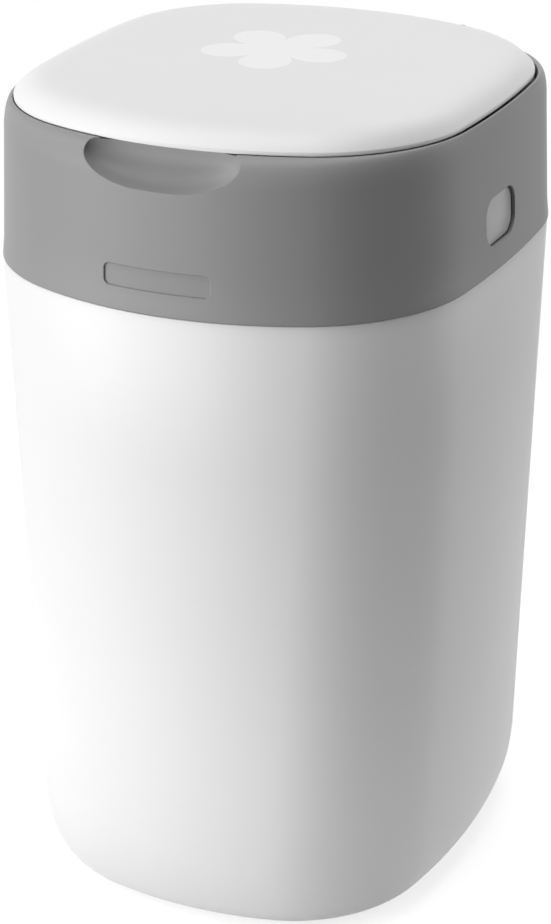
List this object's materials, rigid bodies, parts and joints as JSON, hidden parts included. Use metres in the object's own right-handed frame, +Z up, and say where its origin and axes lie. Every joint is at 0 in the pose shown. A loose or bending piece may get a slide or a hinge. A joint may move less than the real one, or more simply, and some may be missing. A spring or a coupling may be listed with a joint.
{
  "type": "nappy bin",
  "caption": "Nappy bin: tall rounded tub, hinged head with sprung release buttons, hinged crowned lid, and inside a turning tray with a refill cassette, finger gripper and film cutter",
  "frame": {"origin": "centre of the tub's base, on the floor", "axes": "+Z up, +X to the right seen from the front, the front faces -Y"},
  "size_m": [0.25, 0.2982, 0.4304],
  "materials": {
    "tub_polypropylene": "satin white",
    "head_polypropylene": "satin grey",
    "lid_polypropylene": "satin white",
    "button_abs": "satin light grey",
    "deck_polypropylene": "satin pale grey",
    "soft_elastomer": "matt dark grey",
    "cassette_polystyrene": "smooth white",
    "film_polyethylene": "soft translucent film, folded",
    "steel": "plain bright steel"
  },
  "bodies": {
    "tub": {"tub": "tub_polypropylene", "head_hinge_pin": "steel"},
    "head": {"head_shell": "head_polypropylene", "head_deck": "deck_polypropylene", "gripper_frame": "deck_polypropylene", "gripper_fingers": "soft_elastomer", "cutter_housing": "head_polypropylene", "cutter_blade": "steel", "click_pawl": "steel", "lid_hinge_pin_left": "steel", "lid_hinge_pin_right": "steel", "button_spring_right": "steel", "button_spring_left": "steel", "deck_screw_1": "steel", "deck_screw_2": "steel", "deck_screw_3": "steel", "deck_screw_4": "steel", "gripper_screw_1": "steel", "gripper_screw_2": "steel", "gripper_screw_3": "steel", "gripper_screw_4": "steel"},
    "lid": {"lid_cover": "lid_polypropylene", "lid_liner": "lid_polypropylene", "lid_seal": "soft_elastomer"},
    "button_right": {"release_button_right": "button_abs"},
    "button_left": {"release_button_left": "button_abs"},
    "twist": {"cassette_tray": "deck_polypropylene", "twist_ring": "head_polypropylene", "cassette_body": "cassette_polystyrene", "film_pack": "film_polyethylene", "cassette_cap": "cassette_polystyrene"}
  },
  "joints": [
    {"name": "head_hinge", "type": "hinge", "parent": "tub", "child": "head", "pos_m": [0, 0.1491, 0.3402], "axis": [-1, 0, 0], "range_deg": [0, 90]},
    {"name": "lid_hinge", "type": "hinge", "parent": "head", "child": "lid", "pos_m": [0, 0.1299, 0.4175], "axis": [-1, 0, 0], "range_deg": [0, 100]},
    {"name": "button_right_press", "type": "slide", "parent": "head", "child": "button_right", "axis": [-1, 0, 0], "range_m": [0, 0.004], "stiffness_N_per_m": 400, "springref_m": -0.003, "deforming": ["button_spring_right"]},
    {"name": "button_left_press", "type": "slide", "parent": "head", "child": "button_left", "axis": [1, 0, 0], "range_m": [0, 0.004], "stiffness_N_per_m": 400, "springref_m": -0.003, "deforming": ["button_spring_left"]},
    {"name": "twist_turn", "type": "hinge", "parent": "head", "child": "twist", "pos_m": [0, 0, 0.349], "axis": [0, 0, 1], "continuous": true}
  ]
}
